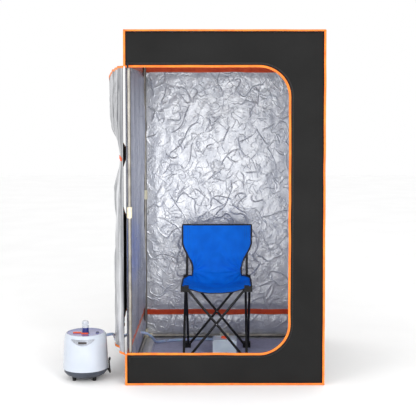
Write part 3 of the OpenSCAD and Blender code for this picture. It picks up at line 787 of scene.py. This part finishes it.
def matRow(k):  # places across the mat along X or Y, closer together at its rounded edge
    count = int((matHigh[k] - matLow[k]) / mat["step"])
    share = np.r_[0, 0.002, 0.006, np.linspace(0.014, 0.986, count), 0.994, 0.998, 1]
    return matLow[k] + share * (matHigh[k] - matLow[k])


def matPiece():
    u, v = np.meshgrid(matRow(0), matRow(1), indexing="ij")
    inward = np.minimum.reduce([u - matLow[0], matHigh[0] - u, v - matLow[1], matHigh[1] - v])
    curve = np.sqrt(np.clip(1 - (1 - np.clip(inward / mat["round"], 0, 1)) ** 2, 0, 1))
    tall = matHigh[2] - matLow[2]
    sunk = mat["sink"] * (softNoise(u, v, mat["sinkSize"], 301) + 1) * 0.5 * curve
    top = np.stack([u, v, matLow[2] + mat["lip"] + (tall - mat["lip"]) * curve - sunk], -1)
    under = np.stack([u, v, u * 0 + matLow[2]], -1)
    return facingOut(shellPanel("matPiece", top, under, [felt, felt]))


matCloth = matPiece()
leftX, frontSide = matLow[:2] + mat["stitchIn"]
rightX, rearSide = matHigh[:2] - mat["stitchIn"]
corners = ((leftX, frontSide), (rightX, frontSide), (rightX, rearSide), (leftX, rearSide), (leftX, frontSide))
matLoop = evenLine([(x, y, matHigh[2] - 0.0004) for x, y in corners], 0.01)
matStitches = alongCurve("matStitches", [matLoop], mat["stitch"], blackTape)
settle(matCloth, "cabin", "mat_fabric", "floor_mat")
join("cabin", matStitches)
print("stage: mat")

# the chair's cloth is one piece from the backrest's top to the seat's front edge
seatLow, seatHigh = ends("chair_seat")
restLow, restHigh = ends("chair_back")
chair = {"middle": (seatLow[0] + seatHigh[0]) / 2, "topHalf": 0.2015, "waistHalf": 0.142, "seatHalf": 0.1925,
         "sag": 0.042, "dip": 0.016, "thick": 0.002, "hem": 0.010, "hemThick": 0.0048, "rays": 0.010,
         "rayCount": 11, "rayReach": 0.09, "rumple": 0.0035, "rumpleSize": 0.05, "pockets": (0.80, 0.86),
         "seam": 0.955, "stitchOut": 0.0016,
         "stitch": {"Spacing": 0.0045, "Across": 0.0010, "Thick": 0.0008, "Along": 0.0030}}


def slingRoute():  # the cloth's middle line in Y and Z, evenly resampled
    top = (restHigh[1] - 0.006, restHigh[2] - 0.002)
    low = (restLow[1] + 0.004, seatHigh[2] + 0.028)
    points = [(0, *top), (0, (top[0] + low[0]) / 2, (top[1] + low[1]) / 2), (0, *low),
              (0, low[0] - 0.012, seatHigh[2] + 0.006), (0, low[0] - 0.05, seatHigh[2] - 0.001),
              (0, (low[0] + seatLow[1]) / 2, seatHigh[2] - 0.003),
              (0, seatLow[1] + 0.002, seatHigh[2] - 0.003)]
    return smoothLine(points, 0.006)[:, 1:]


route = slingRoute()
gone = np.r_[0, np.cumsum(np.linalg.norm(np.diff(route, axis=0), axis=1))]
backLong = gone[np.argmin(np.abs(route[:, 1] - (seatHigh[2] + 0.02)))]


def halfWidth(d):  # half the cloth's width at distance d from its top
    top, waist, seat = chair["topHalf"], chair["waistHalf"], chair["seatHalf"]
    cut = fade(d - 0.10, backLong - 0.12)
    flare = fade(d - backLong - 0.005, 0.13)
    return top + (waist - top) * cut + (seat - waist) * flare


def slingPoint(row, t, lift=0.0):  # row is a place on the route, t runs from -1 to 1 across it
    places = np.arange(len(route))
    y, z = np.interp(row, places, route[:, 0]), np.interp(row, places, route[:, 1])
    d = np.interp(row, places, gone)
    half = halfWidth(d)
    onSeat = fade(d - backLong - 0.01, 0.09)
    sag = chair["sag"] * (1 - t**2) * onSeat
    dip = chair["dip"] * (1 - t**2) * (1 - onSeat) * np.sin(pi * np.clip(d / backLong, 0, 1))
    x = t * half
    reach = np.hypot(np.abs(x) - chair["waistHalf"], d - backLong)
    turn = np.arctan2(d - backLong, np.abs(x) - chair["waistHalf"])
    ray = np.sin(turn * chair["rayCount"] + 3 * softNoise(x, d, 0.1, 401))
    rays = chair["rays"] * ray * np.exp(-reach / chair["rayReach"]) * fade(reach, 0.03)
    rumple = chair["rumple"] * softNoise(x, d, chair["rumpleSize"], 403) * (1 - t**2)
    ahead = np.gradient(route, axis=0)
    ahead /= np.linalg.norm(ahead, axis=1)[:, None]
    ny, nz = np.interp(row, places, ahead[:, 1]), -np.interp(row, places, ahead[:, 0])
    push = rays + rumple + lift
    return np.stack([chair["middle"] + x, y + ny * push + dip, z + nz * push - sag], -1)


rowGrid, tGrid = np.meshgrid(np.arange(len(route), dtype=float), np.linspace(-1, 1, 64), indexing="ij")
slingCloth = facingOut(shellPanel("chairSling", slingPoint(rowGrid, tGrid, chair["thick"] / 2),
                                  slingPoint(rowGrid, tGrid, -chair["thick"] / 2), [sling, sling]))
rows = np.arange(len(route), dtype=float)
last = rows[-1]
across = np.linspace(-1, 1, 60)


def slingSide(t, lift=0.0):  # the cloth's line at t across, from its top to its front
    return slingPoint(rows, np.full(len(rows), t), lift)


loop = np.concatenate([slingSide(1.0), slingPoint(np.full(60, last), across[::-1])[1:-1],
                       slingSide(-1.0)[::-1], slingPoint(np.full(60, 0.0), across)[1:-1]])
normals = np.concatenate([slingSide(1.0, 0.01) - slingSide(1.0), np.tile([0, 0, 0.01], (58, 1)),
                          (slingSide(-1.0, 0.01) - slingSide(-1.0))[::-1],
                          np.tile([0, -0.01, 0.001], (58, 1))]) * 100
slingHem = tubes("chairHem", [(loop, normals, True)], chair["hem"], chair["hemThick"], 8, blackTape)
seamRuns = [slingPoint(rows[2:16], np.full(14, side * t), chair["stitchOut"])
            for side in (-1, 1) for t in chair["pockets"]]
seamRuns += [slingSide(side * chair["seam"], chair["stitchOut"]) for side in (-1, 1)]
seamRuns.append(slingPoint(np.full(50, last - 1.6), np.linspace(-0.95, 0.95, 50), chair["stitchOut"]))
slingStitches = alongCurve("chairStitches", seamRuns, chair["stitch"], blueThread)
settle(slingCloth, "chair", "chair_fabric", "chair_seat", "chair_back")
join("chair", slingHem, slingStitches)
print("stage: chair sling")

# the steam hose runs from the pot's spout through the left wall to the herb box
hose = {"diameter": 0.016, "sides": 18, "step": 0.006, "points": [
    (-0.634, -0.279, 0.205), (-0.620, -0.266, 0.205), (-0.608, -0.245, 0.202), (-0.602, -0.215, 0.193),
    (-0.600, -0.180, 0.176), (-0.600, -0.140, 0.153), (-0.600, -0.095, 0.130), (-0.598, -0.045, 0.114),
    (-0.592, 0.010, 0.107), (-0.582, 0.070, 0.106), (-0.566, 0.120, 0.107), (-0.542, 0.154, 0.109),
    (-0.517, 0.167, 0.110), (-0.495, 0.170, 0.110), (-0.474, 0.172, 0.1085), (-0.453, 0.179, 0.101),
    (-0.438, 0.194, 0.088), (-0.427, 0.216, 0.071), (-0.418, 0.242, 0.052), (-0.409, 0.270, 0.035),
    (-0.394, 0.300, 0.022), (-0.362, 0.338, 0.0165), (-0.325, 0.353, 0.0165), (-0.285, 0.364, 0.0165),
    (-0.240, 0.374, 0.0165), (-0.195, 0.384, 0.0165), (-0.150, 0.390, 0.0165), (-0.105, 0.388, 0.0165),
    (-0.065, 0.374, 0.0165), (-0.034, 0.348, 0.0165), (-0.014, 0.312, 0.017), (-0.004, 0.272, 0.020),
    (0, 0.232, 0.025), (0, 0.195, 0.029), (0, 0.160, 0.030), (0, 0.112, 0.030)]}
hoseLine = smoothLine(hose["points"], hose["step"])
hosePiece = tubes("steamHose", [(hoseLine, (0, 0, 1), False)], hose["diameter"], hose["diameter"],
                  hose["sides"], silicone)
settle(hosePiece, "cabin", "hose_silicone", "steam_hose")

# the collar's outline as (share of its length from the hose end, radius), out along it and back inside
sleeve = {"sides": 72, "ruffle": 0.055, "ruffles": 13, "outline": [
    (0.0, 0.0125), (0.08, 0.0135), (0.4, 0.0140), (0.72, 0.0155), (0.86, 0.021), (0.95, 0.0275),
    (1.0, 0.028), (1.0, 0.024), (0.9, 0.0165), (0.75, 0.0122), (0.4, 0.0112), (0.05, 0.0108)]}


def sleevePiece():  # a gathered cloth collar round the hose where it enters the wall
    rings = []
    reach = sleeveHigh[0] - sleeveLow[0]
    turns = np.arange(sleeve["sides"]) * 2 * pi / sleeve["sides"]
    gather = np.sin(turns * sleeve["ruffles"] + 1.3 * np.sin(turns * 3))
    for share, r in sleeve["outline"]:
        ruffle = 1 + sleeve["ruffle"] * gather * min(1, 1.2 - share)
        rings.append(np.stack([sleeveLow[0] + reach * share + 0 * turns, port[1] + r * ruffle * np.cos(turns),
                               port[2] + r * ruffle * np.sin(turns)], -1))
    n, m = len(rings), len(turns)
    faces = [(i * m + k, i * m + (k + 1) % m, (i + 1) % n * m + (k + 1) % m, (i + 1) % n * m + k)
             for i in range(n) for k in range(m)]
    return toMesh("hoseCollar", np.concatenate(rings).tolist(), faces, [foil])


collar = sleevePiece()
settle(collar, "cabin", "silver_film", "hose_sleeve")
print("stage: hose and collar")

# finishes of the hard parts
steel = finish("tubeSteel", "#A8A39A", "#8C8880", 0.05, (0.28, 0.42), [("grain", 0.0015, 0.05)],
               **{"Metallic": 0.9})  # satin grey steel with fine drawn haze
ivory = finish("ivoryPlastic", "#EFE6CC", "#E2D6B6", 0.02, (0.4, 0.55), [("grain", 0.002, 0.06)],
               **{"Subsurface Weight": 0.06})  # cream moulded joints
powder = finish("blackPowderCoat", "#0C0C0D", "#070708", 0.03, (0.3, 0.5), [("grain", 0.0012, 0.15)],
                **{"Specular IOR Level": 0.4})  # pebbled black coating
brightSteel = finish("rivetSteel", "#D6D6D8", "#BEBEC2", 0.004, (0.2, 0.35), [("grain", 0.0006, 0.03)],
                     **{"Metallic": 1.0})  # bright domed rivets
blackMould = finish("blackMoulding", "#0C0C0D", "#121213", 0.02, (0.45, 0.6), [("grain", 0.0012, 0.1)],
                    **{"Specular IOR Level": 0.3})  # fine spark texture
potWhite = finish("potWhite", "#C3CAD5", "#BAC2CE", 0.12, (0.12, 0.22), [("grain", 0.05, 0.25)],
                  **{"Coat Weight": 0.4})  # cool glossy white shell
potGrey = finish("potGrey", "#3E4450", "#333843", 0.04, (0.35, 0.5),
                 [("grain", 0.0012, 0.12)])  # slate base bowl
lacquer = finish("silverLacquer", "#A7ABB3", "#8F949E", 0.02, (0.22, 0.34), [("grain", 0.0008, 0.04)],
                 **{"Metallic": 0.8, "Coat Weight": 0.5})  # silver painted display surround
smoked = finish("smokedWindow", "#2A1712", "#170C0A", 0.02, (0.06, 0.14), [("grain", 0.01, 0.02)],
                **{"Coat Weight": 0.6})  # dark red-brown window
drawn = finish("drawnSteel", "#C9CACC", "#B3B5B8", 0.03, (0.2, 0.34),
               [("Z", 0.0012, 0.03), ("grain", 0.003, 0.03)],
               **{"Metallic": 1.0})  # turned rings on the tank
alloy = finish("castAlloy", "#9C9EA1", "#838589", 0.02, (0.45, 0.6), [("grain", 0.0015, 0.2)],
               **{"Metallic": 0.8})  # sand-grained heater casting
board = finish("boardLaminate", "#1E6B3A", "#17552E", 0.01, (0.35, 0.5),
               [("grain", 0.0015, 0.08)])  # flat green board
lidBlue = finish("lidBlue", "#6C6DA8", "#5A5B95", 0.06, (0.16, 0.3), [("grain", 0.02, 0.15)],
                 **{"Coat Weight": 0.4})  # glossy blue-purple lid
seal = finish("sealRubber", "#D9DADC", "#C8C9CC", 0.02, (0.6, 0.75), [("grain", 0.001, 0.06)])  # milky seal
orangeMould = finish("orangeMoulding", "#F4602A", "#E2501E", 0.02, (0.25, 0.38), [("grain", 0.002, 0.08)],
                     **{"Coat Weight": 0.2})  # bright orange tabs and knob
valveGrey = finish("valveGrey", "#6E7188", "#5C5F76", 0.01, (0.35, 0.5),
                   [("grain", 0.001, 0.08)])  # matt grey-blue valve
navy = finish("navyMoulding", "#26307C", "#1D2668", 0.02, (0.2, 0.34), [("grain", 0.002, 0.08)],
              **{"Coat Weight": 0.3})  # deep blue neck
frosted = finish("frostedCap", "#F2F5F9", "#E3E9F1", 0.01, (0.18, 0.34), [("grain", 0.001, 0.06)],
                 **{"Transmission Weight": 0.45, "IOR": 1.49})  # cloudy clear cap
boxWhite = finish("boxWhite", "#DDE4EC", "#CFD8E4", 0.05, (0.35, 0.5), [("grain", 0.002, 0.08)],
                  **{"Transmission Weight": 0.12, "Subsurface Weight": 0.1})  # slightly see-through white box

hardParts = {
    steel: ["frame_uprights_lower", "frame_uprights_upper", "frame_top_rails", "frame_base_rails"],
    ivory: ["frame_upright_couplers", "frame_rail_couplers", "frame_top_corners", "frame_base_corners"],
    powder: ["chair_front_bars", "chair_rear_bars", "chair_side_bars", "chair_posts"],
    brightSteel: ["chair_rivets"],
    blackMould: ["chair_feet", "chair_hubs", "chair_post_caps", "pot_feet", "pot_thermostat", "pot_inlet",
                 "pot_side_lever", "zip_slider_low", "zip_slider_high", "zip_pull_low", "zip_pull_high"],
    potWhite: ["pot_housing", "pot_steam_elbow"],
    potGrey: ["pot_base"],
    lacquer: ["pot_bezel"],
    smoked: ["pot_display"],
    drawn: ["pot_tank"],
    alloy: ["pot_heater"],
    board: ["pot_circuit_board"],
    lidBlue: ["lid_plate"],
    seal: ["lid_gasket"],
    orangeMould: ["lid_tabs", "herb_box_knob"],
    valveGrey: ["lid_valve"],
    navy: ["steam_neck"],
    frosted: ["steam_cap"],
    boxWhite: ["herb_box_base", "herb_box_lid"],
}
for material, nodes in hardParts.items():
    for node in nodes:
        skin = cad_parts[node].data.materials
        skin.clear()
        skin.append(material)
print("stage: finishes of the hard parts")

floorSettings = {"reach": 14.0, "drop": 0.0005}  # far enough to fill the view, just under the cabin


def groundPlane():
    mesh = bpy.data.meshes.new("studioFloor")
    reach = floorSettings["reach"]
    corners = [(-reach, -reach, 0), (reach, -reach, 0), (reach, reach, 0), (-reach, reach, 0)]
    mesh.from_pydata(corners, [], [(0, 1, 2, 3)])
    paper = finish("studioFloor", "#FFFFFF", "#FBFBFB", 0.5, (0.6, 0.7), [("grain", 0.05, 0.01)])
    mesh.materials.append(paper)  # plain pale backdrop
    plane = bpy.data.objects.new("studioFloor", mesh)
    plane.location = (0, 0, -floorSettings["drop"])
    scene.collection.objects.link(plane)


groundPlane()
print("stage: floor")
